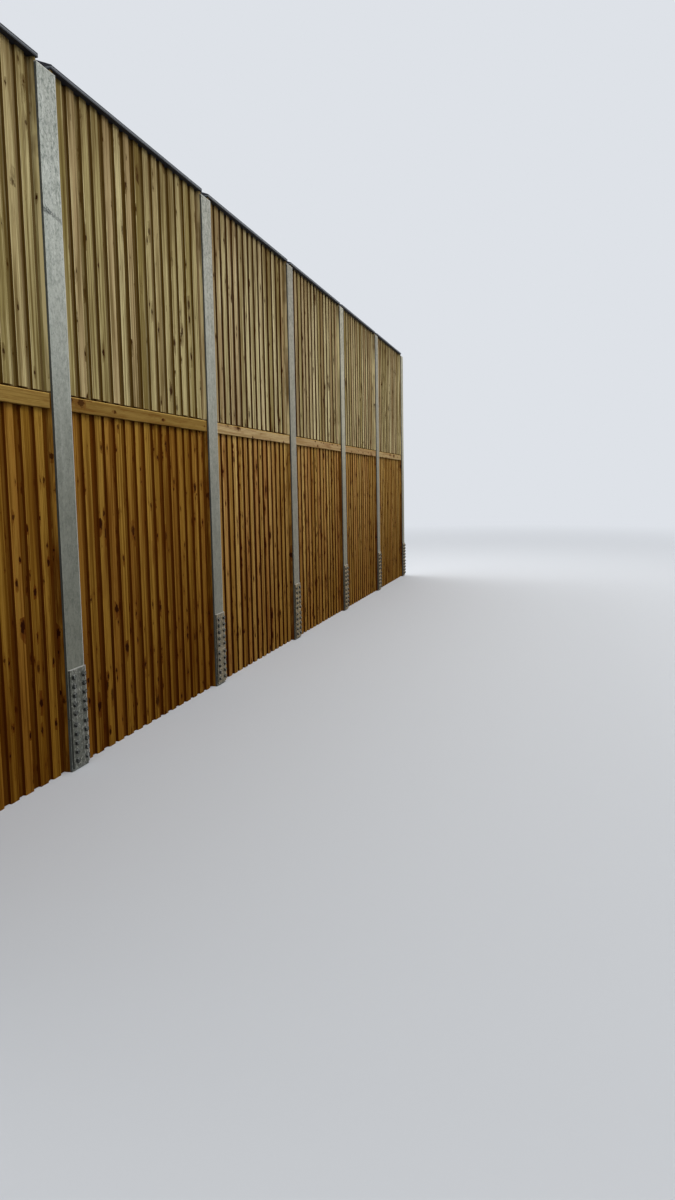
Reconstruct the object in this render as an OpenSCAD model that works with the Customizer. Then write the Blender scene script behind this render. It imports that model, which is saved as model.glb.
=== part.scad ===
// Timber noise barrier between galvanised steel posts, built as a run of equal bays.
// X runs along the barrier, -Y is the side that faces the road, Z is up from ground level.
// The origin is the centre of the foot of the middle post.

/* [Run] */
// Distance between post centres
bay_w = 2500; // [2000:3200]
// Height of the post tops above ground
post_top = 4040; // [3200:5000]

/* [Posts] */
// Width of the post flanges, along the run
flange_w = 206; // [190:260]
// Depth of the post section, across the run
post_d = 210; // [190:260]
// Thickness of the flanges
flange_t = 14; // [10:20]
// Thickness of the web
web_t = 9; // [7:12]
// Radius of the root between web and flange
root_r = 10; // [6:16]

/* [Splice at the post base] */
// Height of the lower edge of a splice plate above ground
plate_foot = 20; // [0:100]
// Thickness of a splice plate
plate_t = 12; // [8:25]
// From the edge of a flange in to the edge of its plate
plate_inset = 7; // [0:12]
// Rows of bolts above the joint, and as many below it
bolt_rows = 5; // [2:6]
// Height between bolt rows
row_pitch = 55; // [44:80]
// Height between the two rows beside the joint
joint_pitch = 70; // [56:120]
// From the end rows of bolts to the ends of the plate
row_edge = 45; // [30:60]
// Distance between the two columns of bolts
bolt_gauge = 120; // [100:144]
// Diameter of the bolt holes
bolt_hole_d = 22; // [18:26]
// Open gap left between the pile head and the post
joint_gap = 4; // [2:10]

/* [Panels] */
// Height of the lower panel, up to the top of its rail
lower_h = 2240; // [1600:2700]
// Gap between the end of a panel and the web of a post
panel_end_gap = 22; // [12:30]
// Width of a raised board
board_w = 86; // [70:120]
// Gap between raised boards, evened out to fill the bay
board_gap = 63.5; // [40:80]
// Gap between the edge of a flange and the nearest raised board
end_board_gap = 57; // [20:80]
// Depth of the gaps behind the faces of the raised boards
recess = 18; // [12:30]
// Width of the edge battens inside the flanges
batten_w = 20; // [16:30]
// From the faces of the raised boards out to the flange
batten_t = 24; // [20:32]
// From the edge of a flange in to its batten
batten_inset = 2; // [1:6]

/* [Middle rail] */
// Height of the rail
rail_h = 88; // [60:140]
// Thickness of the rail on the raised boards
rail_t = 25; // [20:32]
// Gap between the end of the rail and the flange
rail_end_gap = 16; // [4:30]

/* [Capping] */
// Height of the capping above the post tops
cap_clear = 25; // [0:60]
// Overhang of the capping beyond the faces of the boards
cap_over = 35; // [20:80]
// Height of its straight edges
cap_edge = 24; // [20:60]
// Rise from the straight edges to the ridge
cap_rise = 38; // [20:80]
// Open gap between two cappings over a post
cap_gap = 140; // [20:200]

/* [Hidden] */
// The post whose foot is the origin
middle_post = 4;
// Straight steps in each root radius
root_steps = 6;
// Bolt holes run this far past the steel on both sides
hole_over = 1;
// The plates and the joint between pile head and post
plate_w = flange_w - 2 * plate_inset;
plate_h = joint_pitch + 2 * (bolt_rows - 1) * row_pitch + 2 * row_edge;
joint_z = plate_foot + plate_h / 2;
// The slot between the flanges, and the panel faces inside it
slot_half = post_d / 2 - flange_t;
face_y = slot_half - batten_t;
recess_y = face_y - recess;
// Ends of the panels, battens and rails, from the post centres
panel_end = web_t / 2 + panel_end_gap;
batten_far = flange_w / 2 - batten_inset;
batten_near = batten_far - batten_w;
rail_end = flange_w / 2 + rail_end_gap;
// Raised boards, from a post centre: the first begins here and the last ends as far from the next
first_board = flange_w / 2 + end_board_gap;
boards = round((bay_w - 2 * first_board + board_gap) / (board_w + board_gap));
board_pitch = (bay_w - 2 * first_board - board_w) / (boards - 1);
// Underside and width of the capping
cap_z = post_top + cap_clear;
cap_w = 2 * (face_y + cap_over);

// Place of post n along the run, counted from 1
function post_x(n) = (n - middle_post) * bay_w;

// One quarter of the post section, from its web out to the corner of its flange
function section_quarter() = concat(
    [for (i = [0 : root_steps])
        let (a = 180 - 90 * i / root_steps)
        [web_t / 2 + root_r * (1 + cos(a)), slot_half - root_r * (1 - sin(a))]],
    [[flange_w / 2, slot_half], [flange_w / 2, post_d / 2]]
);
function flip(points, sx, sy) = [for (p = points) [sx * p.x, sy * p.y]];
function backwards(points) = [for (i = [len(points) - 1 : -1 : 0]) points[i]];
function post_section() = concat(
    section_quarter(),
    backwards(flip(section_quarter(), -1, 1)),
    flip(section_quarter(), -1, -1),
    backwards(flip(section_quarter(), 1, -1))
);

// Heights of the bolt rows above the joint, and of those below it
function row_up(k) = joint_z + joint_pitch / 2 + k * row_pitch;
function row_down(k) = joint_z - joint_pitch / 2 - k * row_pitch;

// Bolt holes through one row, from y0 to y1
module row_holes(z, y0, y1) {
    for (side = [-1, 1])
        translate([side * bolt_gauge / 2, y0 - hole_over, z])
            rotate([-90, 0, 0])
                cylinder(d = bolt_hole_d, h = y1 - y0 + 2 * hole_over, $fn = 32);
}

// A length of post section with its flanges drilled
module drilled_section(z0, z1, rows) {
    difference() {
        translate([0, 0, z0]) linear_extrude(height = z1 - z0) polygon(post_section());
        for (z = rows) {
            row_holes(z, -post_d / 2, -slot_half);
            row_holes(z, slot_half, post_d / 2);
        }
    }
}

module post(n) {
    color([0.62, 0.66, 0.68])
        translate([post_x(n), 0, 0])
            drilled_section(joint_z + joint_gap / 2, post_top, [for (k = [0 : bolt_rows - 1]) row_up(k)]);
}

module pile_head(n) {
    color([0.5, 0.53, 0.54])
        translate([post_x(n), 0, 0])
            drilled_section(0, joint_z - joint_gap / 2, [for (k = [0 : bolt_rows - 1]) row_down(k)]);
}

// One splice plate on a flange, its inner face at y0
module splice_plate(y0) {
    difference() {
        translate([-plate_w / 2, y0, joint_z - plate_h / 2]) cube([plate_w, plate_t, plate_h]);
        for (k = [0 : bolt_rows - 1]) {
            row_holes(row_up(k), y0, y0 + plate_t);
            row_holes(row_down(k), y0, y0 + plate_t);
        }
    }
}

module splice(n) {
    color([0.42, 0.44, 0.45])
        translate([post_x(n), 0, 0]) {
            splice_plate(post_d / 2);
            splice_plate(-post_d / 2 - plate_t);
        }
}

// A raised strip of a panel in plan, from x0 to x1 and out to y
function strip(x0, x1, y) = [[x0, recess_y], [x0, y], [x1, y], [x1, recess_y]];

// One face of a panel in plan: its edge battens and raised boards, along the run
function face_outline() = concat(
    [[panel_end, recess_y]],
    strip(batten_near, batten_far, slot_half),
    [for (b = [0 : boards - 1])
        let (x = first_board + b * board_pitch)
        for (p = strip(x, x + board_w, face_y)) p],
    strip(bay_w - batten_far, bay_w - batten_near, slot_half),
    [[bay_w - panel_end, recess_y]]
);

module panel(n, z0, h) {
    translate([post_x(n), 0, z0])
        linear_extrude(height = h)
            polygon(concat(backwards(face_outline()), flip(face_outline(), 1, -1)));
}

module lower_panel(n) {
    color([0.55, 0.36, 0.17]) panel(n, 0, lower_h);
}

module upper_panel(n) {
    color([0.6, 0.56, 0.45]) panel(n, lower_h, cap_z - lower_h);
}

// Rails on both faces of the lower panel, flush with its top
module middle_rail(n) {
    color([0.6, 0.4, 0.19])
        for (y0 = [-face_y - rail_t, face_y])
            translate([post_x(n) + rail_end, y0, lower_h - rail_h])
                cube([bay_w - 2 * rail_end, rail_t, rail_h]);
}

module capping(n) {
    color([0.17, 0.18, 0.2])
        translate([post_x(n) + cap_gap / 2, 0, cap_z])
            rotate([90, 0, 90])
                linear_extrude(height = bay_w - cap_gap)
                    polygon([
                        [-cap_w / 2, 0],
                        [cap_w / 2, 0],
                        [cap_w / 2, cap_edge],
                        [0, cap_edge + cap_rise],
                        [-cap_w / 2, cap_edge]
                    ]);
}

post(1);  // post_1
post(2);  // post_2
post(3);  // post_3
post(4);  // post_4
post(5);  // post_5
post(6);  // post_6
post(7);  // post_7
pile_head(1);  // pile_head_1
pile_head(2);  // pile_head_2
pile_head(3);  // pile_head_3
pile_head(4);  // pile_head_4
pile_head(5);  // pile_head_5
pile_head(6);  // pile_head_6
pile_head(7);  // pile_head_7
splice(1);  // splice_1
splice(2);  // splice_2
splice(3);  // splice_3
splice(4);  // splice_4
splice(5);  // splice_5
splice(6);  // splice_6
splice(7);  // splice_7
lower_panel(1);  // lower_panel_1
lower_panel(2);  // lower_panel_2
lower_panel(3);  // lower_panel_3
lower_panel(4);  // lower_panel_4
lower_panel(5);  // lower_panel_5
lower_panel(6);  // lower_panel_6
upper_panel(1);  // upper_panel_1
upper_panel(2);  // upper_panel_2
upper_panel(3);  // upper_panel_3
upper_panel(4);  // upper_panel_4
upper_panel(5);  // upper_panel_5
upper_panel(6);  // upper_panel_6
middle_rail(1);  // middle_rail_1
middle_rail(2);  // middle_rail_2
middle_rail(3);  // middle_rail_3
middle_rail(4);  // middle_rail_4
middle_rail(5);  // middle_rail_5
middle_rail(6);  // middle_rail_6
capping(1);  // capping_1
capping(2);  // capping_2
capping(3);  // capping_3
capping(4);  // capping_4
capping(5);  // capping_5
capping(6);  // capping_6
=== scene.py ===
"""Looks of a timber noise barrier between galvanised steel posts, built around its packed CAD frame."""

import math

import bmesh
import bpy
from mathutils import Matrix, Vector, noise


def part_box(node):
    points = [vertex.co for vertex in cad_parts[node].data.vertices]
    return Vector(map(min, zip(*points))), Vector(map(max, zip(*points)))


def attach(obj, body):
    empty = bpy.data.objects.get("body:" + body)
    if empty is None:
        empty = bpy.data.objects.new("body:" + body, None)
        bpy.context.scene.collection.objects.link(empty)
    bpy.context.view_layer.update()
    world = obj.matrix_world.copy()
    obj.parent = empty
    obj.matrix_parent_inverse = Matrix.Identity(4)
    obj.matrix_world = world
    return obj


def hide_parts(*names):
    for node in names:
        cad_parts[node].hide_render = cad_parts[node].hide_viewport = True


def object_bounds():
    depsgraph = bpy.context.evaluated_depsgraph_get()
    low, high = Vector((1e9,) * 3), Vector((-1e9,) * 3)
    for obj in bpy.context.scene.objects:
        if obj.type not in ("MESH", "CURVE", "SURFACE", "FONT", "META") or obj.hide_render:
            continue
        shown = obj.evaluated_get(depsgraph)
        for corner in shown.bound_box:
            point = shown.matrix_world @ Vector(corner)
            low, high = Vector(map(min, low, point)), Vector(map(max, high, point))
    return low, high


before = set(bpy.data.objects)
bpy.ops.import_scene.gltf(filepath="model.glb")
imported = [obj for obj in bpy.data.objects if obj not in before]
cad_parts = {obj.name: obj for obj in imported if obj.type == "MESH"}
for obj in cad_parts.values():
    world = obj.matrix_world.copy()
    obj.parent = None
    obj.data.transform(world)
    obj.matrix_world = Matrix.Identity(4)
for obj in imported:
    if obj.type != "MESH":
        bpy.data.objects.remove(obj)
CAD_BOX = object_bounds()

bl_info = {
    "name": "Timber noise barrier",
    "version": (1, 0, 0),
    "blender": (4, 5, 0),
    "location": "3D View > Sidebar > Barrier",
    "description": "Boards, rails, cappings, bolts and finishes of a timber noise barrier",
    "category": "Object",
}

BODY = "root"
BAYS = range(1, 7)
POSTS = range(1, 8)

# How pale the boards of each bay are
PALER = {1: 0.0, 2: 0.0, 3: 1.0, 4: 0.95, 5: 0.95, 6: 0.9}
# What the zinc's red, green and blue are multiplied by at the far posts: as a rule, on the splices and
# bolts, and on the brighter posts
DULLER = (0.70, 0.61, 0.51)
WARMER_FAR = (1.9, 1.33, 0.77)
BRIGHT = (1.05, 0.92, 0.75)
BRIGHT_POSTS = (5, 7)

# Pieces that a board is cut into along its length, so that it can bow
BOARD_STEPS = 6
# How far a board reaches back into what is behind it
BOARD_LAP = 0.004
# Most that a raised board leans, in radians
BOARD_LEAN = 0.0012
# Width of the boards behind the gaps, as a share of a raised board's
BACK_WIDTH = 1.3
# How far the battens stay inside the edge of the flange
BATTEN_INSET = 0.002
# How far the core of a panel lies behind the boards, the width of its end stiles, and how far its
# filling stands back from them
CORE_BEHIND = 0.006
STILE = 0.045
FILLING_BACK = 0.002
# Pieces that a rail is cut into, the rounding of its edges, and how far they leave the straight line
RAIL_STEPS = 48
RAIL_ARRIS = 0.003
RAIL_WAVE = 0.0022
CAPPING_ARRIS = 0.003
# Bolts in a splice plate
BOLT_COLUMNS = 2
BOLT_ROWS = 10


def linear(red, green, blue):
    """A colour picked as 0 to 255 on screen, as the scene's own linear values."""
    values = (red / 255, green / 255, blue / 255)
    return tuple(v / 12.92 if v <= 0.04045 else ((v + 0.055) / 1.055) ** 2.4 for v in values)


# Colours of the zinc's flecks, scratches and scuffs, of its darkening towards the foot, and of the painted
# shade and painted highlights on it
ZINC_MARKS = {label: linear(*colour) for label, colour in {
    "speck": (104, 112, 104),
    "clean": (206, 210, 206),
    "dark fleck": (108, 118, 110),
    "pale fleck": (214, 218, 210),
    "scratch": (176, 180, 176),
    "dent": (50, 52, 48),
    "scuff": (62, 68, 64),
    "foot_darkening": (180, 178, 170),
    "low_darkening": (216, 216, 212),
    "head": (236, 236, 236),
    "flank": (31, 34, 31),
    "rim_highlight": (214, 212, 206),
    "bolt shade": (12, 12, 10),
    "bolt highlight": (140, 142, 136),
}.items()}


def centre_x(node):
    low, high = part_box(node)
    return (low.x + high.x) / 2


def panel_levels():
    """How far a panel's recess, boards and battens lie from the middle plane, and where its boards are."""
    points = [v.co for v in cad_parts["lower_panel_1"].data.vertices]
    start = centre_x("post_1")
    levels = sorted({round(abs(p.y), 4) for p in points})
    edges = sorted({round(p.x - start, 4) for p in points if round(abs(p.y), 4) == levels[1]})
    return levels, edges


FIRST_POST = centre_x("post_1")
BAY = centre_x("post_2") - FIRST_POST
(RECESS, FACE, SLOT), BOARD_EDGES = panel_levels()
POST_LOW, POST_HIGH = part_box("post_1")
FLANGE_HALF = (POST_HIGH.x - POST_LOW.x) / 2
POST_FACE = POST_HIGH.y
PLATE_LOW, PLATE_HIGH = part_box("splice_1")
JOINT_Z = (PLATE_LOW.z + PLATE_HIGH.z) / 2


# Settings


def number_property(name, description, default, **options):
    return bpy.props.FloatProperty(name=name, description=description, default=default, **options)


def length_property(name, description, default):
    return number_property(name, description, default, unit="LENGTH")


def vector_property(name, description, default, **options):
    return bpy.props.FloatVectorProperty(
        name=name, description=description, size=3, default=default, **options)


def colour_property(name, description, red, green, blue):
    return vector_property(name, description, linear(red, green, blue), subtype="COLOR", min=0, max=1)


class TimberSizes(bpy.types.PropertyGroup):
    """Sizes of the boards and battens"""

    board_width: length_property("Board width", "Width of a raised board", BOARD_EDGES[1] - BOARD_EDGES[0])
    board_pitch: length_property(
        "Board pitch", "From one raised board to the next", BOARD_EDGES[2] - BOARD_EDGES[0])
    board_count: bpy.props.IntProperty(
        name="Boards", description="Raised boards in a bay", default=len(BOARD_EDGES) // 2)
    arris: length_property("Arris", "Rounding of the board edges", 0.0035)
    jog: length_property("Jog", "How far a board may stand from its even place", 0.009)
    vary: number_property("Width share", "How much wider or narrower a board may be", 0.08, subtype="FACTOR")
    wander: length_property("Wander", "How far a board's edge leaves the straight line", 0.002)
    uneven: length_property("Uneven ends", "How unevenly the upper boards end over the rail", 0.008)
    clear: length_property("Clear ends", "Least gap between the upper boards and the rail", 0.010)
    batten_width: length_property("Batten width", "Width of the edge battens", 0.020)
    seed: bpy.props.IntProperty(name="Seed", description="Picks another set of boards", default=7)


class SteelSizes(bpy.types.PropertyGroup):
    """Sizes of the splice bolts"""

    gauge: length_property("Gauge", "Distance between the two columns of bolts", 0.120)
    row_pitch: length_property("Row pitch", "Height between bolt rows", 0.055)
    joint_pitch: length_property("Joint pitch", "Height between the two rows beside the joint", 0.070)
    across_flats: length_property("Across flats", "Width of a bolt head over its flats", 0.030)
    head: length_property("Head height", "Height of a bolt head", 0.0125)
    shank: length_property("Shank diameter", "Diameter of a bolt's shank", 0.020)
    washer: length_property("Washer thickness", "Thickness of a washer", 0.003)


class TimberColours(bpy.types.PropertyGroup):
    """Colours of the timber and of the capping"""

    lower_light: colour_property("Lower light", "Lightest lower boards", 168, 131, 57)
    lower_dark: colour_property("Lower dark", "Darkest lower boards", 132, 95, 31)
    lower_warm: colour_property("Lower warm", "Reddest lower boards", 155, 108, 47)
    lower_grain: colour_property("Lower grain", "Late wood lines of the lower boards", 94, 58, 10)
    lower_stain: colour_property("Lower stain", "Reddish streaks of the lower boards", 92, 43, 7)
    # The recess colours stand for the backing boards' darker wood and for painted shade on the raised
    # boards' sides
    lower_recess: colour_property("Lower recess", "Wood deep between the lower boards", 82, 40, 3)
    upper_light: colour_property("Upper light", "Lightest upper boards", 206, 192, 144)
    upper_dark: colour_property("Upper dark", "Darkest upper boards", 140, 125, 74)
    upper_warm: colour_property("Upper warm", "Pinkest upper boards", 158, 130, 96)
    upper_grain: colour_property("Upper grain", "Late wood lines of the upper boards", 98, 80, 40)
    upper_stain: colour_property("Upper stain", "Brown stains of the upper boards", 84, 62, 30)
    upper_recess: colour_property("Upper recess", "Wood deep between the upper boards", 80, 58, 20)
    rail_light: colour_property("Rail light", "Lightest rail wood", 154, 126, 67)
    rail_dark: colour_property("Rail dark", "Darkest rail wood", 122, 93, 43)
    rail_warm: colour_property("Rail warm", "Reddest rail wood", 143, 107, 56)
    lower_paler: vector_property(
        "Lower paler", "What multiplies the colour of the palest lower boards", (1.52, 1.76, 3.3))
    upper_paler: vector_property(
        "Upper paler", "What multiplies the colour of the palest upper boards", (1.16, 1.18, 1.3))
    knot: colour_property("Knots", "Knots and bark", 42, 14, 3)
    capping: colour_property("Capping", "Charcoal paint of the cappings", 33, 36, 45)


class SteelColours(bpy.types.PropertyGroup):
    """Colours of the galvanised steel"""

    post_light: colour_property("Post light", "Light zinc of the posts", 178, 182, 174)
    post_dark: colour_property("Post dark", "Dull patches of the posts", 150, 155, 146)
    pile_light: colour_property("Pile light", "Light zinc of the pile heads", 132, 134, 130)
    plate_light: colour_property("Plate light", "Light zinc of the splice plates", 80, 81, 72)
    plate_dark: colour_property("Plate dark", "Dull patches of the splice plates", 48, 49, 42)
    # The bolts are far darker than the plates' zinc: painted shade on the heads and washers
    bolt: colour_property("Bolt", "Dull grey of the bolts and washers", 21, 22, 18)


class StageSettings(bpy.types.PropertyGroup):
    """Camera, lamps and backdrop"""

    lens: number_property("Lens", "Focal length in millimetres", 28.5)
    eye: vector_property("Eye", "Place of the camera", (-10.1426, -2.9366, 1.6735), subtype="TRANSLATION")
    yaw: number_property("Yaw", "Turn from the run to the barrier", math.radians(13.154), subtype="ANGLE")
    pitch: number_property("Pitch", "Tilt above the horizon", math.radians(-6.758), subtype="ANGLE")
    roll: number_property("Roll", "Lean of the camera", math.radians(-0.999), subtype="ANGLE")
    strip_power: number_property("Strip power", "Power of each strip lamp", 345, unit="POWER")
    strip_shift: length_property("Strip shift", "How far the strip lamps hang from the run's middle", 2.0)
    key_strength: number_property("Key strength", "Strength of each soft lamp", 1.5)
    sky: number_property("Sky", "Strength of the even light from all round", 0.5)
    backdrop: colour_property("Backdrop", "Colour behind the barrier", 222, 226, 232)


SETTINGS = {
    "barrier_timber": TimberSizes,
    "barrier_steel": SteelSizes,
    "barrier_wood": TimberColours,
    "barrier_zinc": SteelColours,
    "barrier_stage": StageSettings,
}


# Node helpers


def operator_pair(operation):
    """Two methods for one Math operation, with the wire as its first value or as its second."""
    return (lambda wire, other: wire.math(operation, wire, other),
            lambda wire, other: wire.math(operation, other, wire))


class Wire:
    """A node's output. Arithmetic on it adds Math nodes."""

    __add__, __radd__ = operator_pair("ADD")
    __sub__, __rsub__ = operator_pair("SUBTRACT")
    __mul__, __rmul__ = operator_pair("MULTIPLY")
    __truediv__ = operator_pair("DIVIDE")[0]
    __mod__ = operator_pair("FLOORED_MODULO")[0]

    def __init__(self, maker, socket):
        self.maker = maker
        self.socket = socket

    def math(self, operation, first, second, clamp=False):
        return self.maker.add("ShaderNodeMath", {0: first, 1: second}, operation=operation, use_clamp=clamp)

    def __abs__(self):
        return self.math("ABSOLUTE", self, 0)

    def floor(self):
        return self.math("FLOOR", self, 0)

    def above(self, limit):
        return self.math("GREATER_THAN", self, limit)

    def clamped(self):
        return self.math("ADD", self, 0, clamp=True)

    def ramp(self, low, high):
        """0 at low and 1 at high, smoothly. It falls where low is above high."""
        ends = {1: low, 2: high} if low <= high else {1: high, 2: low, 3: 1.0, 4: 0.0}
        return self.maker.add(
            "ShaderNodeMapRange", {0: self, **ends}, interpolation_type="SMOOTHSTEP", clamp=True)

    def into(self, socket):
        self.maker.tree.links.new(self.socket, socket)


class Maker:
    """Adds nodes to one tree."""

    def __init__(self, tree):
        self.tree = tree

    def node(self, kind, sockets=None, **settings):
        """A node of that kind: its settings first, then the values or wires of its sockets."""
        made = self.tree.nodes.new(kind)
        for name, value in settings.items():
            setattr(made, name, value)
        for key, value in (sockets or {}).items():
            if isinstance(value, Wire):
                value.into(made.inputs[key])
            else:
                made.inputs[key].default_value = value
        return made

    def add(self, kind, sockets=None, output=0, **settings):
        return Wire(self, self.node(kind, sockets, **settings).outputs[output])

    def split(self, vector):
        return [Wire(self, socket) for socket in self.node("ShaderNodeSeparateXYZ", {0: vector}).outputs]

    def vector(self, x=0.0, y=0.0, z=0.0):
        return self.add("ShaderNodeCombineXYZ", {0: x, 1: y, 2: z})

    def sum(self, vector, other):
        return self.add("ShaderNodeVectorMath", {0: vector, 1: other}, operation="ADD")

    def scaled(self, vector, scale):
        return self.add("ShaderNodeVectorMath", {0: vector, 1: scale}, operation="MULTIPLY")

    def attribute(self, name, output="Fac"):
        return self.add("ShaderNodeAttribute", output=output, attribute_name=name)

    def noise(self, vector, scale=1.0, detail=2.0, roughness=0.5, distortion=0.0):
        """Noise between 0 and 1. Its scale is one number, or one for each axis."""
        if isinstance(scale, tuple):
            vector, scale = self.scaled(vector, scale), 1.0
        sockets = {"Vector": vector, "Scale": scale, "Detail": detail, "Roughness": roughness,
                   "Distortion": distortion}
        return self.add("ShaderNodeTexNoise", sockets)

    def mix(self, factor, first, second, blend="MIX"):
        """A mix of two colours: first where factor is 0, second where it is 1."""
        def colour(value):
            return value if isinstance(value, Wire) else (*value[:3], 1.0)
        return self.add("ShaderNodeMix", {0: factor, 6: colour(first), 7: colour(second)}, 2,
                        data_type="RGBA", blend_type=blend, clamp_factor=True)

    def layered(self, colour, layers):
        """A colour under others, in their order. Each comes with its mask, and may have its own blend."""
        for mask, over, *blend in layers:
            colour = self.mix(mask, colour, over, *blend)
        return colour


def new_material(name, colour, metallic=0.0, specular=0.5):
    """A material with its shader, the maker of its tree and the object coordinates."""
    material = bpy.data.materials.new(name)
    material.use_nodes = True
    material.diffuse_color = (*colour, 1.0)
    maker = Maker(material.node_tree)
    shader = material.node_tree.nodes["Principled BSDF"]
    shader.inputs["Metallic"].default_value = metallic
    shader.inputs["Specular IOR Level"].default_value = specular
    return material, maker, shader, maker.add("ShaderNodeTexCoord", output="Object")


def join(maker, shader, colour, roughness, height, distance):
    """Wires colour, roughness and bump into a shader."""
    bump = maker.add("ShaderNodeBump", {"Strength": 0.6, "Distance": distance, "Height": height})
    colour.into(shader.inputs["Base Color"])
    roughness.into(shader.inputs["Roughness"])
    bump.into(shader.inputs["Normal"])


# Materials


def timber_look(wood, tier, grain_of=None):
    """The colours of one kind of timber, by what they are for."""
    source = grain_of or tier
    look = {part: getattr(wood, f"{tier}_{part}")[:] for part in ("light", "dark", "warm")}
    for part in ("grain", "stain", "recess", "paler"):
        look[part] = getattr(wood, f"{source}_{part}")[:]
    look["knot"] = wood.knot[:]
    return look


def knots(maker, own, spacing, chance, radius):
    """Knots in some cells of the wood: the dark core, and the reddish tails above and below it."""
    spot = maker.scaled(own, (1 / spacing, 1 / spacing, 0.75 / spacing))
    cells = maker.node("ShaderNodeTexVoronoi", {"Vector": spot, "Scale": 1.0}, feature="F1")
    picked = maker.split(Wire(maker, cells.outputs["Color"]))
    present = picked[0].above(1 - chance) * (0.65 + picked[2] * 0.6)
    size = (0.4 + picked[1] * 0.85) * radius / spacing
    ragged = maker.noise(own, (75, 75, 30), 3.0, 0.65) - 0.5
    away = Wire(maker, cells.outputs["Distance"]) / size + ragged * 2.0
    core = (away.ramp(1.1, 0.78) * present).clamped()
    middle = Wire(maker, cells.outputs["Position"])
    off = maker.add("ShaderNodeVectorMath", {0: spot, 1: middle}, operation="SUBTRACT")
    drawn_out = maker.scaled(off, (1.0, 1.0, 0.32))
    reach = maker.add("ShaderNodeVectorMath", {0: drawn_out}, "Value", operation="LENGTH")
    tail = reach / size + ragged * 1.6
    return core, (tail.ramp(1.7, 0.4) * present).clamped()


def sawn_timber(name, look, along="z", knot_share=0.3, streak=0.6, batten=0.0, rim_highlight=0.0, darker_foot=None,
                damp_and_shade_top=None, foot_shadow=None):
    """Sawn softwood: late wood lines, knots and stains, painted highlights on the arrises, and painted shade
    deep between the boards.
    """
    material, maker, shader, place = new_material(name, look["light"], specular=0.01)
    tone, hidden, paler, signed = (
        maker.attribute(f"board_{part}") for part in ("tone", "hidden", "pale", "across"))
    shift = maker.attribute("grain_shift", "Vector")
    x, y, z = maker.split(place)
    own = maker.sum(maker.vector(z, y, x) if along == "x" else place, shift)
    own_across, own_y, own_up = maker.split(own)

    big_core, big_tail = knots(maker, own, 0.11, knot_share * 1.1, 0.0245)
    small_core, small_tail = knots(maker, own, 0.047, knot_share * 0.45, 0.013)
    core = (big_core + small_core).clamped()
    tail = (big_tail + small_tail).clamped()

    bend = maker.noise(own, (6, 6, 0.8)) * 0.05 + big_tail * 0.012
    bent = maker.vector(own_across + bend, own_y, own_up * 0.02)
    lines = maker.noise(bent, (150, 80, 10), roughness=0.6)
    fibre = maker.noise(own, (420, 420, 9), roughness=0.65)
    band = maker.noise(own, (34, 34, 0.9), roughness=0.55)
    broad = maker.noise(own, (11, 11, 1.1), 3.0, 0.55)
    blotch = maker.noise(own, (46, 46, 4), 3.0, 0.6)
    single = maker.noise(shift, (0.9, 0.9, 0.9), 0.0)

    wood = maker.layered(maker.mix(tone, look["light"], look["dark"]), [
        (single.ramp(0.5, 0.62) * 0.6, look["warm"]),
        (band.ramp(0.46, 0.34) * streak, look["light"]),
        (band.ramp(0.5, 0.64) * streak, look["grain"]),
        (lines.ramp(0.48, 0.6) * streak * 0.8, look["grain"]),
        (broad.ramp(0.52, 0.68) * 0.38, look["stain"]),
        (blotch.ramp(0.56, 0.68) * 0.3, look["stain"]),
        (fibre.ramp(0.45, 0.65) * 0.3, look["grain"]),
    ])
    wood = maker.mix(paler, wood, maker.scaled(wood, look["paler"]))

    across = abs(signed)
    depth = abs(y).ramp(FACE - 0.0012, FACE - 0.0032)
    # Painted highlight along the front arrises of the boards
    arris = across.ramp(0.87, 0.97) * (1 - depth)
    wane = across.ramp(0.75, 1.0) * maker.noise(own, (4, 4, 3.2), 3.0).ramp(0.58, 0.66)
    mottle = (0.6 + (blotch + broad - 0.9) * 2.5).clamped()
    # Painted shade deep between the boards, with the backing boards' own darker wood; nearer black in the
    # paler bays
    recess_shade = depth * hidden.ramp(-0.5, 0.0) * (0.95 - hidden.clamped() * tone * 0.45)
    # Colour of the painted highlights on the arrises and the rails
    pale = tuple(min(1.0, value * 1.3) for value in look["light"])
    red, green = look["recess"][:2]
    deep_shade = (red * 0.4, green * 0.12, 0.0)
    layers = [
        (arris * broad.ramp(0.62, 0.4) * 0.65, pale),
        (wane * 0.35, look["stain"]),
        (hidden.ramp(-0.5, -1.0) * mottle * batten, look["recess"]),
        (tail * 0.75, look["stain"]),
        (core * 0.95, look["knot"]),
        (recess_shade, maker.mix(paler * 0.9, look["recess"], deep_shade)),
    ]
    # Painted highlight along the top arris of the rails
    if rim_highlight:
        layers.append((signed.ramp(0.82, 0.88) * rim_highlight, tuple(value * 1.6 for value in pale)))
    # Damp stains and painted shade under the capping, at the top of the upper boards
    if damp_and_shade_top:
        darkened = (z + (broad - 0.5) * 0.6).ramp(damp_and_shade_top - 0.6, damp_and_shade_top + 0.05)
        layers.append((darkened * 0.42, look["stain"]))
    # Painted shadow: a dark line at the foot of the upper boards, over the rail
    if foot_shadow:
        layers.append((z.ramp(foot_shadow + 0.015, foot_shadow + 0.008) * 0.85, deep_shade))
    # The lower boards grow darker towards the ground
    if darker_foot:
        darkened = (z + (broad - 0.5) * 0.7).ramp(darker_foot, 0.0)
        layers.append((darkened * 0.72, linear(172, 146, 70), "MULTIPLY"))
    height = lines * 0.35 + fibre * 0.3 - core * 0.5 + band * 0.2
    join(maker, shader, maker.layered(wood, layers), 0.74 + fibre * 0.14, height, 0.0012)
    return material


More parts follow.
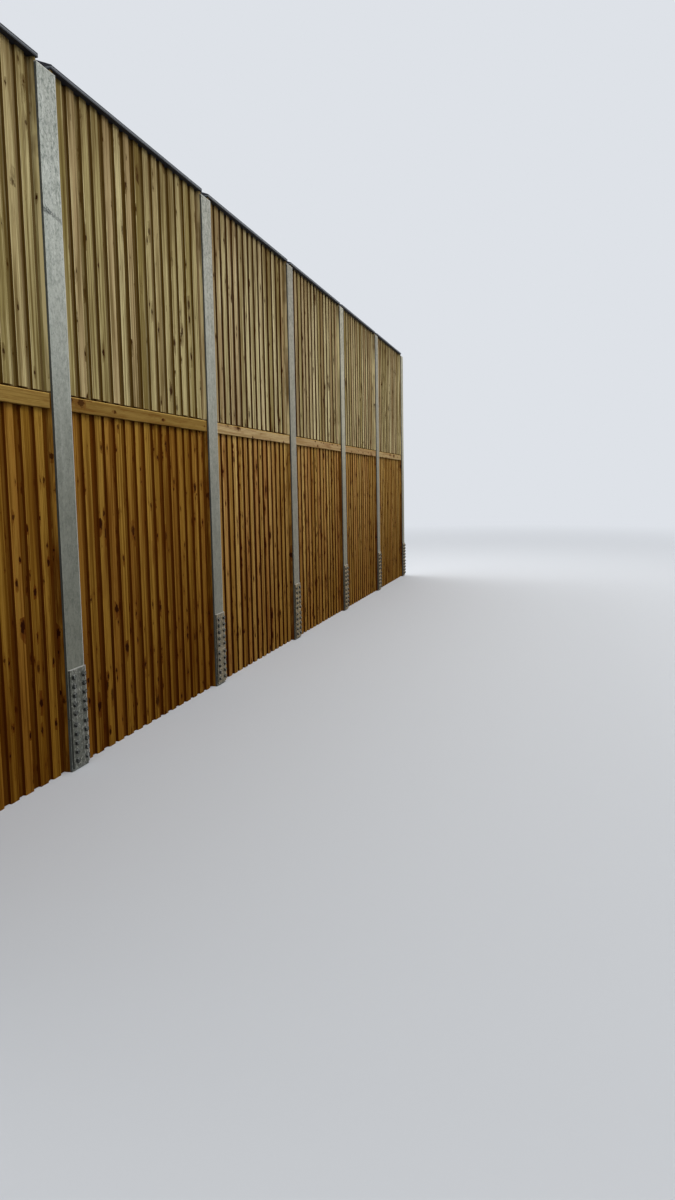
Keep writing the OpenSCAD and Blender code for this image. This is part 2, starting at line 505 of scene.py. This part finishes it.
def scuffed(maker, place, scuff):
    """The mask of a curved rub mark on the front of a post."""
    x, y, z = maker.split(place)
    off_x = x - scuff["x"]
    bow = off_x * scuff["slope"] + off_x * off_x * scuff["bow"]
    off = abs(z - scuff["z"] - bow + (maker.noise(place, 30.0, 3.0) - 0.5) * 0.03)
    near = abs(off_x).ramp(0.108, 0.1) * y.ramp(-POST_FACE + 0.01, -POST_FACE + 0.003)
    rubbed = off.ramp(scuff["width"], scuff["width"] * 0.4) * near
    rubbed = rubbed * maker.noise(place, (90, 60, 120), 3.0).ramp(0.36, 0.5)
    return rubbed * (0.55 + off_x.ramp(0.03, -0.05) * 0.4)


def galvanised(name, light, dark, darker_ends, scratches=0.0, rim_highlight=None, scuff=None, shaded=False, along=DULLER):
    """Hot-dip galvanised steel: mottled zinc, faint runs, darker towards the foot, painted shade and painted
    highlights.

    Towards the far posts its red, green and blue are multiplied by along.
    """
    material, maker, shader, place = new_material(name, light, metallic=0.2)
    mark = ZINC_MARKS
    x, y, z = maker.split(place)
    face_x, face_y, face_z = maker.split(maker.add("ShaderNodeTexCoord", output="Normal"))
    cell = maker.add("ShaderNodeTexVoronoi", {"Vector": place, "Scale": 75.0}, "Color", feature="F1")
    spangle = maker.split(cell)[0]
    patch = maker.noise(place, 9.0, 4.0, 0.65)
    runs = maker.noise(place, (34, 34, 2.0), 3.0, 0.6)
    speck = maker.noise(place, 130.0, 3.0, 0.7)
    fleck = maker.noise(place, (52, 52, 38), 4.0, 0.75, 0.8)
    strong = 0.75 + z.ramp(2.6, 3.8) * 0.85
    layers = [
        (patch.ramp(0.4, 0.66) * 0.5 + runs.ramp(0.45, 0.7) * 0.35, dark),
        (spangle * 0.14, dark),
        (speck.ramp(0.55, 0.72) * 0.22, mark["speck"]),
        (runs.ramp(0.44, 0.3) * 0.3 + speck.ramp(0.4, 0.28) * 0.2, mark["clean"]),
        (fleck.ramp(0.52, 0.6) * strong * 0.55, mark["dark fleck"]),
        (fleck.ramp(0.46, 0.38) * strong * 0.4, mark["pale fleck"]),
    ]
    if scratches:
        scored = maker.noise(place, (60, 60, 14), 4.0, 0.7, 1.6)
        layers.append((scored.ramp(0.56, 0.64) * scratches, mark["scratch"]))
        layers.append((scored.ramp(0.44, 0.36) * scratches, mark["dent"]))
    if scuff:
        layers.append((scuffed(maker, place, scuff), mark["scuff"]))
    # Darker towards the foot, less so at the far posts
    wave = (maker.noise(place, (5, 5, 1.5), 3.0) - 0.5) * 0.6
    far = x.ramp(-6.0, 0.5)
    foot_darkening = darker_ends * (1 - far * 0.5)
    layers.append(((z + wave).ramp(3.7, 0.7) * foot_darkening, mark["foot_darkening"], "MULTIPLY"))
    layers.append(((z + wave * 0.5).ramp(2.6, 1.5) * foot_darkening, mark["low_darkening"], "MULTIPLY"))
    zinc = maker.layered(light, layers)
    zinc = maker.mix(far, zinc, maker.scaled(zinc, along))

    side = abs(face_x).ramp(0.5, 0.9) * abs(y).ramp(SLOT - 0.004, SLOT - 0.001)
    layers = [
        # Painted shade: the tops of the posts are darkened
        (z.ramp(3.1, 3.8) * darker_ends, mark["head"], "MULTIPLY"),
        # Painted shade on the flange edges, the faces that look along the run
        (side * 0.85, mark["flank"]),
    ]
    # Painted highlights along the side edges and the top edge of the posts and plates
    if rim_highlight:
        off_middle = (x - FIRST_POST + BAY / 2) % BAY - BAY / 2
        bright = abs(off_middle).ramp(rim_highlight["half"] - 0.007, rim_highlight["half"] - 0.003) * (1 - side)
        bright = bright * (rim_highlight["left"] + off_middle.above(0.0) * (1 - rim_highlight["left"]))
        bright = bright + z.ramp(rim_highlight["top"] - 0.006, rim_highlight["top"] - 0.002) * 0.75
        layers.append((bright.clamped() * 0.6, mark["rim_highlight"]))
    if shaded:
        # Painted shade on the bolts' lower flanks, and a painted highlight on their upper flanks
        flank = abs(face_y).ramp(0.8, 0.5)
        layers.append((flank * face_z.ramp(0.3, 0.05) * 0.95, mark["bolt shade"]))
        layers.append((flank * face_z.ramp(0.3, 0.55) * 0.3, mark["bolt highlight"]))
    rough = 0.52 + patch * 0.2 + spangle * 0.04
    join(maker, shader, maker.layered(zinc, layers), rough, speck * 0.5 + spangle * 0.3 + patch, 0.0006)
    return material


def charcoal_paint(name, colour, lip):
    """Matt charcoal paint, chalked and dusty in places, with a painted highlight along the lip at that
    height.
    """
    material, maker, shader, place = new_material(name, colour, specular=0.25)
    dust = maker.noise(place, (3, 18, 18), 4.0, 0.6)
    fine = maker.noise(place, 160.0, 2.0, 0.6)
    up = maker.split(place)[2]
    paint = maker.layered(tuple(value * 0.62 for value in colour), [
        (dust.ramp(0.4, 0.65), colour),
        (dust.ramp(0.62, 0.85) * 0.5 + fine.ramp(0.6, 0.85) * 0.15,
         tuple(min(1.0, value * 1.7) for value in colour)),
        # Painted highlight: a pale line along the fascia, just below the lip
        (abs(up - lip + 0.012).ramp(0.0035, 0.002) * 0.4, linear(150, 158, 164)),
    ])
    join(maker, shader, paint, 0.48 + dust * 0.22, fine * 0.6 + dust * 0.4, 0.0006)
    return material


# Meshes


def linked(name, data):
    """An object with that data, in the scene."""
    made = bpy.data.objects.new(name, data)
    bpy.context.scene.collection.objects.link(made)
    return made


def finish_piece(name, mesh, slot, material, *nodes):
    """Links a mesh as a piece that rides on the barrier and stands for those CAD nodes."""
    mesh.name = name
    mesh.materials.clear()
    mesh.materials.append(material)
    piece = linked(name, mesh)
    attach(piece, BODY)
    if nodes:
        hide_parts(*nodes)


def mesh_from(name, build):
    """A mesh that the function build fills in as a bmesh."""
    form = bmesh.new()
    build(form)
    bmesh.ops.recalc_face_normals(form, faces=form.faces)
    mesh = bpy.data.meshes.new(name)
    form.to_mesh(mesh)
    form.free()
    return mesh


def lofted(name, tubes):
    """A mesh of closed tubes with flat ends, each given by its rings of points."""
    def build(form):
        for rings in tubes:
            made = [[form.verts.new(p) for p in ring] for ring in rings]
            for below, above in zip(made, made[1:]):
                for i in range(len(below)):
                    j = (i + 1) % len(below)
                    form.faces.new((below[i], below[j], above[j], above[i]))
            form.faces.new(made[0])
            form.faces.new(made[-1])
    return mesh_from(name, build)


def board_section(width, thick, arris):
    """A board in plan: its back on the X axis, its face at -Y, the front edges rounded."""
    half, soft = width / 2, arris * 0.3
    right = [(half, 0.0), (half, -thick + arris), (half - soft, -thick + soft), (half - arris, -thick)]
    return right + [(-x, y) for x, y in reversed(right)]


def plain_board(width, thick, arris):
    """A board one metre long that stands on its end."""
    section = board_section(width, thick, arris)
    heights = [k / BOARD_STEPS for k in range(BOARD_STEPS + 1)]
    mesh = lofted("board", [[[(x, y, z) for x, y in section] for z in heights]])
    layer = mesh.attributes.new("board_across", "FLOAT", "POINT")
    layer.data.foreach_set("value", [v.co.x * 2 / width for v in mesh.vertices])
    return mesh


def mark_timber(mesh, tone, shift, hidden, paler, across=None):
    """Gives a mesh the attributes that the timber's material reads."""
    count = len(mesh.vertices)
    spread = [across(v.co) if across else 0.0 for v in mesh.vertices]
    values = {"tone": [tone] * count, "hidden": [hidden] * count, "pale": [paler] * count, "across": spread}
    for name, numbers in values.items():
        mesh.attributes.new(f"board_{name}", "FLOAT", "POINT").data.foreach_set("value", numbers)
    mesh.attributes.new("grain_shift", "FLOAT_VECTOR", "POINT").data.foreach_set("vector", shift * count)


def open_tree(name, floats, integers):
    """A Geometry Nodes tree with named inputs. Returns it, its maker and a wire for each input."""
    tree = bpy.data.node_groups.new(name, "GeometryNodeTree")
    tree.interface.new_socket("Geometry", in_out="OUTPUT", socket_type="NodeSocketGeometry")
    inputs = {"Geometry": "Geometry", **dict.fromkeys(floats, "Float"), **dict.fromkeys(integers, "Int"),
              "Material": "Material"}
    for label, kind in inputs.items():
        tree.interface.new_socket(label, in_out="INPUT", socket_type="NodeSocket" + kind)
    maker = Maker(tree)
    source = tree.nodes.new("NodeGroupInput")
    return tree, maker, {socket.name: Wire(maker, socket) for socket in source.outputs if socket.name}


def close_tree(maker, geometry, material):
    """Ends a tree: instances made real, then the material."""
    real = maker.add("GeometryNodeRealizeInstances", {0: geometry})
    ended = maker.add("GeometryNodeSetMaterial", {"Geometry": real, "Material": material})
    ended.into(maker.tree.nodes.new("NodeGroupOutput").inputs[0])


def grow(tree, mesh, values):
    """The plain mesh that a tree makes of a mesh with those input values."""
    carrier = linked("carrier", mesh)
    modifier = carrier.modifiers.new("grow", "NODES")
    modifier.node_group = tree
    for item in tree.interface.items_tree:
        if item.in_out == "INPUT" and item.name in values:
            modifier[item.identifier] = values[item.name]
    view = bpy.context.evaluated_depsgraph_get()
    made = bpy.data.meshes.new_from_object(
        carrier.evaluated_get(view), preserve_all_data_layers=True, depsgraph=view)
    bpy.data.objects.remove(carrier)
    return made


def random_value(maker, low, high, seed, index):
    """A random number for each point."""
    sockets = {2: low, 3: high, 7: index, 8: seed}
    return maker.add("FunctionNodeRandomValue", sockets, 1, data_type="FLOAT")


def store(maker, geometry, label, kind, domain, value):
    """The geometry with a named attribute."""
    sockets = {"Geometry": geometry, "Name": label, "Value": value}
    return maker.add("GeometryNodeStoreNamedAttribute", sockets, data_type=kind, domain=domain)


def joined(maker, parts):
    """Several geometries as one."""
    made = maker.node("GeometryNodeJoinGeometry")
    for part in parts:
        part.into(made.inputs[0])
    return Wire(maker, made.outputs[0])


def row_of_boards(maker, board, seed, count, first, pitch, height, y=-RECESS + BOARD_LAP, foot=0.0,
                  uneven=0.0, jog=0.0, lean=0.0, wide=1.0, vary=0.0, thick=1.0, hidden=0.0):
    """Boards in a row along X, each with its own tone, grain, lean and place."""
    line = {"Count": count, "Start Location": maker.vector(first, y, foot), "Offset": maker.vector(pitch)}
    points = maker.add("GeometryNodeMeshLine", line, mode="OFFSET")
    index = maker.add("GeometryNodeInputIndex")
    aside = random_value(maker, -1.0, 1.0, seed, index) * jog
    cut = random_value(maker, 0.0, 1.0, seed + 1, index) * uneven
    jogged = maker.vector(aside, 0.0, cut)
    points = maker.add("GeometryNodeSetPosition", {"Geometry": points, "Offset": jogged})
    turn = maker.vector(0.0, random_value(maker, -1.0, 1.0, seed + 2, index) * lean)
    width = random_value(maker, 1 - vary, 1 + vary, seed + 3, index) * wide
    size = maker.vector(width, thick, height - cut)
    boards = maker.add("GeometryNodeInstanceOnPoints",
                       {"Points": points, "Instance": board, "Rotation": turn, "Scale": size})
    tone = random_value(maker, 0.0, 1.0, seed + 4, index)
    boards = store(maker, boards, "board_tone", "FLOAT", "INSTANCE", tone)
    shift = maker.vector(*(random_value(maker, -9.0, 9.0, seed + k, index) for k in (5, 6, 7)))
    boards = store(maker, boards, "grain_shift", "FLOAT_VECTOR", "INSTANCE", shift)
    boards = store(maker, boards, "board_hidden", "FLOAT", "INSTANCE", hidden)
    return maker.add("GeometryNodeRealizeInstances", {0: boards})


def board_tree(sizes):
    """The boards of a panel, on both faces: edge battens, boards behind the gaps, and raised boards."""
    tree, maker, given = open_tree(
        "panel boards", ("Start", "Foot", "Height", "Clear", "Uneven", "Paler"), ("Seed",))
    board, height = given["Geometry"], given["Height"]
    thick = FACE - RECESS
    first = BOARD_EDGES[0] + sizes.board_width / 2
    batten = FLANGE_HALF - BATTEN_INSET - sizes.batten_width / 2
    faces = []
    for side in (0, 1):
        seed = given["Seed"] + 100 * side
        raised = row_of_boards(
            maker, board, seed, sizes.board_count, first, sizes.board_pitch, height - given["Clear"],
            foot=given["Clear"], uneven=given["Uneven"], jog=sizes.jog, lean=BOARD_LEAN, vary=sizes.vary,
            thick=(thick + BOARD_LAP) / thick)
        behind = row_of_boards(
            maker, board, seed + 20, sizes.board_count + 1, first - sizes.board_pitch / 2,
            sizes.board_pitch, height, y=-RECESS + thick, wide=BACK_WIDTH, hidden=1.0)
        battens = row_of_boards(
            maker, board, seed + 40, 2, batten, BAY - 2 * batten, height,
            wide=sizes.batten_width / sizes.board_width, thick=(SLOT - RECESS + BOARD_LAP) / thick,
            hidden=-1.0)
        skin = joined(maker, (battens, behind, raised))
        if side:
            skin = maker.add("GeometryNodeTransform",
                             {"Geometry": skin, "Translation": (BAY, 0, 0), "Rotation": (0, 0, math.pi)})
        faces.append(skin)
    whole = joined(maker, faces)

    y, z = maker.split(maker.add("GeometryNodeInputPosition"))[1:]
    shift = maker.add("GeometryNodeInputNamedAttribute", {"Name": "grain_shift"}, data_type="FLOAT_VECTOR")
    path = maker.sum(shift, maker.vector(0.0, 0.0, z * 0.9))
    bow = (maker.noise(path, 1.0, 1.0) - 0.5) * sizes.wander
    inside = abs(y).ramp(RECESS + 0.003, FACE - 0.004) * abs(y).ramp(FACE + 0.006, FACE + 0.002)
    whole = maker.add("GeometryNodeSetPosition", {"Geometry": whole, "Offset": maker.vector(bow * inside)})
    whole = store(maker, whole, "board_pale", "FLOAT", "POINT", given["Paler"])
    corner = maker.vector(given["Start"], 0.0, given["Foot"])
    whole = maker.add("GeometryNodeTransform", {"Geometry": whole, "Translation": corner})
    close_tree(maker, whole, given["Material"])
    return tree


def panel_core(low, high):
    """Between the two skins: end stiles, and a filling that stands back from them."""
    left, right = low.x + STILE, high.x - STILE
    tubes = []
    for a, b, back in ((low.x, left, 0.0), (left, right, FILLING_BACK), (right, high.x, 0.0)):
        half = RECESS - CORE_BEHIND - back
        ring = [(a, -half), (b, -half), (b, half), (a, half)]
        tubes.append([[(x, y, z) for x, y in ring] for z in (low.z, high.z)])
    return lofted("core", tubes)


def merged(name, meshes):
    """Several meshes as one, with their attributes."""
    objects = [linked(name, mesh) for mesh in meshes]
    with bpy.context.temp_override(active_object=objects[0], selected_editable_objects=objects):
        bpy.ops.object.join()
    whole = objects[0].data
    bpy.data.objects.remove(objects[0])
    return whole


def build_panels(label, material, clear, uneven, seed):
    """Replaces the panels of one tier by single boards."""
    sizes = bpy.context.scene.barrier_timber
    tree = board_tree(sizes)
    for n in BAYS:
        node = f"{label}_panel_{n}"
        low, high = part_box(node)
        board = plain_board(sizes.board_width, FACE - RECESS, sizes.arris)
        skins = grow(tree, board, {
            "Start": centre_x(f"post_{n}"), "Foot": low.z, "Height": high.z - low.z, "Clear": clear,
            "Uneven": uneven, "Seed": seed + 10 * n, "Paler": PALER[n], "Material": material})
        core = panel_core(low, high)
        mark_timber(core, 0.5, (n * 0.7, 0.0, 0.0), 1.0, 0.0)
        core.materials.append(material)
        name = f"{label}_boards_{n}"
        finish_piece(name, merged(name, [skins, core]), f"{label}_boards", material, node)


def rail_rings(low, high, n, side):
    """Rings along one rail of a bay: a sawn timber with slightly wavy edges and eased arrises."""
    inner, soft = FACE - 0.002, RAIL_ARRIS * 0.3
    rings = []
    for k in range(RAIL_STEPS + 1):
        x = low.x + (high.x - low.x) * k / RAIL_STEPS
        spots = [Vector((x * 2.2, n * 3.7 + side * 9.1 + i * 5.3, 0.4)) for i in range(3)]
        wave = [noise.noise(spot) * RAIL_WAVE for spot in spots]
        top, bottom = high.z - 0.001 - abs(wave[0]), low.z + abs(wave[1])
        out = high.y - 0.001 + wave[2] * 0.4
        ring = [(inner, bottom), (out - RAIL_ARRIS, bottom), (out - soft, bottom + soft),
                (out, bottom + RAIL_ARRIS), (out, top - RAIL_ARRIS), (out - soft, top - soft),
                (out - RAIL_ARRIS, top), (inner, top)]
        rings.append([(x, side * y, z) for y, z in ring])
    return rings


def rail_mesh(node, n):
    """The two rails of a bay."""
    low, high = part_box(node)
    middle, half = (low.z + high.z) / 2, (high.z - low.z) / 2
    meshes = []
    for side in (-1, 1):
        mesh = lofted("rail", [rail_rings(low, high, n, side)])
        tone = 0.25 + 0.5 * noise.cell(Vector((n * 7.3, side * 2.9, 0.5)))
        shift = (n * 1.3, side * 2.0, n * 5.1)
        mark_timber(mesh, tone, shift, -0.5, PALER[n], lambda point: (point.z - middle) / half)
        meshes.append(mesh)
    return merged(f"rail_timbers_{n}", meshes)


def bevelled_copy(node, width, segments):
    """A copy of a CAD node's mesh, merged, with eased edges."""
    def build(form):
        form.from_mesh(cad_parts[node].data)
        bmesh.ops.remove_doubles(form, verts=form.verts, dist=1e-5)
        bmesh.ops.dissolve_limit(form, angle_limit=math.radians(1), verts=form.verts, edges=form.edges)
        sharp = [e for e in form.edges if e.is_manifold and e.calc_face_angle() > math.radians(10)]
        bmesh.ops.bevel(form, geom=sharp, offset=width, segments=segments, profile=0.6, affect="EDGES",
                        clamp_overlap=True)
    return mesh_from(node, build)


def round_tube(sides, levels, turn=0.0):
    """Rings round the Y axis, one for each pair of a radius and a place along it."""
    angles = [turn + math.tau * k / sides for k in range(sides)]
    return [[(radius * math.cos(angle), y, radius * math.sin(angle)) for angle in angles]
            for radius, y in levels]


def bolt_mesh(sizes):
    """A hexagon bolt with its washers and nut. It starts on the plate, and -Y is outwards."""
    hexagon, washer_sides, shank_sides = 6, 12, 8
    corner = sizes.across_flats / 2 / math.cos(math.pi / hexagon)
    washer_radius = sizes.across_flats * 0.61
    grip = PLATE_HIGH.y - SLOT
    washer, head, shank = sizes.washer, sizes.head, sizes.shank / 2
    nut, chamfer, nut_turn, past_nut = 0.016, 0.0022, 0.4, 0.005
    start = grip + washer
    return lofted("bolt", [
        round_tube(washer_sides, [(washer_radius, 0.0), (washer_radius, -washer)]),
        round_tube(washer_sides, [(washer_radius, grip), (washer_radius, start)]),
        round_tube(hexagon, [(corner, -washer), (corner, -washer - head + chamfer),
                             (corner * 0.9, -washer - head)]),
        round_tube(hexagon, [(corner, start), (corner, start + nut)], nut_turn),
        round_tube(shank_sides, [(shank, start), (shank, start + nut + past_nut)]),
    ])


def bolt_tree():
    """Bolts in columns and rows on both sides of every splice."""
    tree, maker, given = open_tree("splice bolts", (
        "Bay", "First", "Gauge", "Row pitch", "Joint pitch", "Joint height", "Plate face"
    ), ("Posts", "Seed"))
    per_plate = BOLT_COLUMNS * BOLT_ROWS
    per_post = per_plate * 2
    points = maker.add("GeometryNodeMeshLine", {"Count": given["Posts"] * per_post}, mode="OFFSET")
    index = maker.add("GeometryNodeInputIndex")
    column = index % BOLT_COLUMNS - (BOLT_COLUMNS - 1) / 2
    row = (index / BOLT_COLUMNS).floor() % BOLT_ROWS - (BOLT_ROWS - 1) / 2
    side = (index / per_plate).floor() % 2 * 2 - 1
    post = (index / per_post).floor()
    over_joint = row.above(0.0) * 2 - 1
    x = given["First"] + post * given["Bay"] + column * given["Gauge"]
    wider = (given["Joint pitch"] - given["Row pitch"]) * 0.5
    z = given["Joint height"] + row * given["Row pitch"] + over_joint * wider
    holes = maker.vector(x, side * given["Plate face"], z)
    points = maker.add("GeometryNodeSetPosition", {"Geometry": points, "Position": holes})
    spin = random_value(maker, 0.0, math.tau, given["Seed"], index)
    turn = maker.vector(0.0, spin, side.above(0.0) * math.pi)
    bolts = maker.add("GeometryNodeInstanceOnPoints",
                      {"Points": points, "Instance": given["Geometry"], "Rotation": turn})
    close_tree(maker, bolts, given["Material"])
    return tree


# Operators


class BARRIER_OT_steel(bpy.types.Operator):
    """Gives the posts, pile heads and splice plates their galvanised finish"""

    bl_idname = "barrier.steel"
    bl_label = "Galvanised steel"

    def execute(self, context):
        zinc = context.scene.barrier_zinc
        post = zinc.post_light[:], zinc.post_dark[:]
        pile = zinc.pile_light[:], zinc.plate_dark[:]
        plate = zinc.plate_light[:], zinc.plate_dark[:]
        scuff = {"x": centre_x("post_2"), "z": 3.25, "slope": -0.14, "bow": -0.9, "width": 0.021}
        # Where the painted highlights run on the posts and on the splice plates
        rim_highlight = {"half": FLANGE_HALF, "top": POST_HIGH.z, "left": 0.15}
        plate_rim_highlight = {"half": (PLATE_HIGH.x - PLATE_LOW.x) / 2, "top": PLATE_HIGH.z, "left": 0.0}
        finishes = {
            "post": galvanised("galvanised_post", *post, 1.0, rim_highlight=rim_highlight, scuff=scuff),
            "pile_head": galvanised("galvanised_pile", *pile, 0.3),
            "splice": galvanised("splice_plate", *plate, 0.0, scratches=0.5, rim_highlight=plate_rim_highlight, along=WARMER_FAR),
        }
        bright = galvanised("galvanised_post_bright", *post, 1.6, rim_highlight=rim_highlight, along=BRIGHT)
        for label, material in finishes.items():
            for n in POSTS:
                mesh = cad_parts[f"{label}_{n}"].data
                mesh.materials.clear()
                mesh.materials.append(bright if label == "post" and n in BRIGHT_POSTS else material)
        return {"FINISHED"}


class BARRIER_OT_bolts(bpy.types.Operator):
    """Puts the hexagon bolts, nuts and washers into the splices"""

    bl_idname = "barrier.bolts"
    bl_label = "Splice bolts"

    def execute(self, context):
        sizes = context.scene.barrier_steel
        zinc = context.scene.barrier_zinc.bolt[:]
        material = galvanised("bolt_zinc", zinc, zinc, 0.0, shaded=True, along=WARMER_FAR)
        mesh = grow(bolt_tree(), bolt_mesh(sizes), {
            "Posts": len(POSTS), "Bay": BAY, "First": FIRST_POST, "Gauge": sizes.gauge,
            "Row pitch": sizes.row_pitch, "Joint pitch": sizes.joint_pitch, "Joint height": JOINT_Z,
            "Plate face": PLATE_HIGH.y, "Seed": 3, "Material": material})
        finish_piece("splice_bolts", mesh, "splice_plate", material)
        return {"FINISHED"}


class BARRIER_OT_lower_boards(bpy.types.Operator):
    """Builds the golden brown lower boards"""

    bl_idname = "barrier.lower_boards"
    bl_label = "Lower boards"

    def execute(self, context):
        look = timber_look(context.scene.barrier_wood, "lower")
        material = sawn_timber("lower_boards", look, knot_share=0.5, streak=0.72, batten=0.85, darker_foot=2.3)
        build_panels("lower", material, 0.0, 0.0, context.scene.barrier_timber.seed)
        return {"FINISHED"}


class BARRIER_OT_upper_boards(bpy.types.Operator):
    """Builds the paler upper boards"""

    bl_idname = "barrier.upper_boards"
    bl_label = "Upper boards"

    def execute(self, context):
        look = timber_look(context.scene.barrier_wood, "upper")
        timber = context.scene.barrier_timber
        foot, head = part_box("upper_panel_1")
        material = sawn_timber("upper_boards", look, knot_share=0.2, streak=0.72, damp_and_shade_top=head.z,
                               foot_shadow=foot.z)
        build_panels("upper", material, timber.clear, timber.uneven, timber.seed + 500)
        return {"FINISHED"}


class BARRIER_OT_rails(bpy.types.Operator):
    """Builds the proud rails on both faces"""

    bl_idname = "barrier.rails"
    bl_label = "Middle rails"

    def execute(self, context):
        look = timber_look(context.scene.barrier_wood, "rail", "lower")
        material = sawn_timber("rail_timber", look, along="x", knot_share=0.24, streak=0.34, rim_highlight=0.6)
        for n in BAYS:
            node = f"middle_rail_{n}"
            finish_piece(f"rail_timbers_{n}", rail_mesh(node, n), "rail_timber", material, node)
        return {"FINISHED"}


class BARRIER_OT_cappings(bpy.types.Operator):
    """Builds the pitched cappings with eased edges"""

    bl_idname = "barrier.cappings"
    bl_label = "Cappings"

    def execute(self, context):
        levels = sorted({round(v.co.z, 4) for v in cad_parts["capping_1"].data.vertices})
        material = charcoal_paint("capping", context.scene.barrier_wood.capping[:], levels[1])
        for n in BAYS:
            mesh = bevelled_copy(f"capping_{n}", CAPPING_ARRIS, 2)
            finish_piece(f"ridge_capping_{n}", mesh, "capping", material, f"capping_{n}")
        return {"FINISHED"}


class BARRIER_OT_stage(bpy.types.Operator):
    """Sets up the floor, the backdrop, the lamps and the camera"""

    bl_idname = "barrier.stage"
    bl_label = "Stage"

    def execute(self, context):
        stage = context.scene.barrier_stage
        self.camera(context.scene, stage)
        self.floor(stage)
        self.lamps(stage)
        self.sky(context.scene, stage)
        context.scene.view_settings.view_transform = "Standard"
        return {"FINISHED"}

    def camera(self, scene, stage):
        ahead = Vector((math.cos(stage.yaw) * math.cos(stage.pitch),
                        math.sin(stage.yaw) * math.cos(stage.pitch), math.sin(stage.pitch)))
        level = Vector((math.sin(stage.yaw), -math.cos(stage.yaw), 0.0))
        upright = level.cross(ahead)
        right = level * math.cos(stage.roll) + upright * math.sin(stage.roll)
        up = upright * math.cos(stage.roll) - level * math.sin(stage.roll)
        data = bpy.data.cameras.new("camera")
        data.lens, data.sensor_width, data.sensor_fit = stage.lens, 36.0, "AUTO"
        data.clip_start, data.clip_end = 0.1, 500.0
        camera = linked("camera", data)
        turn = Matrix((right, up, -ahead)).transposed().to_4x4()
        camera.matrix_world = Matrix.Translation(Vector(stage.eye)) @ turn
        scene.camera = camera

    def seen(self, maker):
        """1 for what the camera sees, straight, mirrored or through glass."""
        path = maker.node("ShaderNodeLightPath")
        rays = [Wire(maker, path.outputs[f"Is {kind} Ray"]) for kind in ("Camera", "Glossy", "Transmission")]
        return (rays[0] + rays[1] + rays[2]).clamped()

    def floor(self, stage):
        reach, fade = 400.0, (10.0, 260.0)
        corners = ((-reach, -reach, 0), (reach, -reach, 0), (reach, reach, 0), (-reach, reach, 0))
        mesh = mesh_from("floor", lambda form: form.faces.new([form.verts.new(p) for p in corners]))
        shown, lit = linear(200, 202, 206), linear(120, 116, 110)
        material, maker, shader, place = new_material("floor", shown, specular=0.1)
        shader.inputs["Roughness"].default_value = 0.9
        colour = maker.mix(self.seen(maker), lit, shown)
        colour.into(shader.inputs["Base Color"])
        x, y = maker.split(place)[:2]
        far = (x * x / 4 + y * y).ramp(*fade) * self.seen(maker)
        glow = maker.add("ShaderNodeEmission", {"Color": (*stage.backdrop[:], 1.0), "Strength": 1.0})
        both = maker.add("ShaderNodeMixShader", {0: far, 1: Wire(maker, shader.outputs[0]), 2: glow})
        both.into(material.node_tree.nodes["Material Output"].inputs["Surface"])
        mesh.materials.append(material)
        floor = linked("floor", mesh)

    def lamps(self, stage):
        middle = (CAD_BOX[0].x + CAD_BOX[1].x) / 2
        strip_aside, strip_height, strip_drop, key_distance = 4.2, 7.4, 5.0, 12
        for side in (-1, 1):
            strip = bpy.data.lights.new(f"strip_{side}", "AREA")
            strip.shape, strip.size, strip.size_y = "RECTANGLE", 22.0, 2.4
            strip.energy, strip.color = stage.strip_power, (1.0, 0.985, 0.96)
            place = Vector((middle + stage.strip_shift, side * strip_aside, strip_height))
            self.hang(strip, place, Vector((0.0, -side * strip_aside, -strip_drop)))
            key = bpy.data.lights.new(f"key_{side}", "SUN")
            key.energy, key.angle = stage.key_strength, math.radians(75)
            away = Vector((side * 0.62, side * 0.6, 0.5))
            self.hang(key, Vector((middle, 0.0, 0.0)) + away * key_distance, -away)

    def hang(self, data, place, aim):
        lamp = linked(data.name, data)
        lamp.location = place
        lamp.rotation_euler = aim.to_track_quat("-Z", "Y").to_euler()
        lamp.visible_camera = False

    def sky(self, scene, stage):
        world = bpy.data.worlds.new("sky")
        world.use_nodes = True
        scene.world = world
        maker = Maker(world.node_tree)
        world.node_tree.nodes.clear()
        cool_white = (0.93, 0.97, 1.0, 1.0)
        lit = maker.add("ShaderNodeBackground", {"Color": cool_white, "Strength": stage.sky})
        shown = maker.add("ShaderNodeBackground", {"Color": (*stage.backdrop[:], 1.0)})
        both = maker.add("ShaderNodeMixShader", {0: self.seen(maker), 1: lit, 2: shown})
        both.into(world.node_tree.nodes.new("ShaderNodeOutputWorld").inputs["Surface"])


STEPS = (
    BARRIER_OT_stage,
    BARRIER_OT_steel,
    BARRIER_OT_bolts,
    BARRIER_OT_lower_boards,
    BARRIER_OT_upper_boards,
    BARRIER_OT_rails,
    BARRIER_OT_cappings,
)


class BARRIER_PT_panel(bpy.types.Panel):
    """Lists the barrier's settings and steps"""

    bl_idname = "BARRIER_PT_panel"
    bl_label = "Noise barrier"
    bl_space_type = "VIEW_3D"
    bl_region_type = "UI"
    bl_category = "Barrier"

    def draw(self, context):
        layout = self.layout
        for name, group in SETTINGS.items():
            box = layout.box()
            box.label(text=group.__doc__)
            for label in group.__annotations__:
                box.prop(getattr(context.scene, name), label)
        for step in STEPS:
            layout.operator(step.bl_idname)


CLASSES = (*SETTINGS.values(), *STEPS, BARRIER_PT_panel)


def register():
    for item in CLASSES:
        bpy.utils.register_class(item)
    for name, group in SETTINGS.items():
        setattr(bpy.types.Scene, name, bpy.props.PointerProperty(type=group))


def unregister():
    for name in SETTINGS:
        delattr(bpy.types.Scene, name)
    for item in reversed(CLASSES):
        bpy.utils.unregister_class(item)


def main():
    register()
    for step in STEPS:
        group, name = step.bl_idname.split(".")
        getattr(getattr(bpy.ops, group), name)()


if __name__ == "__main__":
    main()
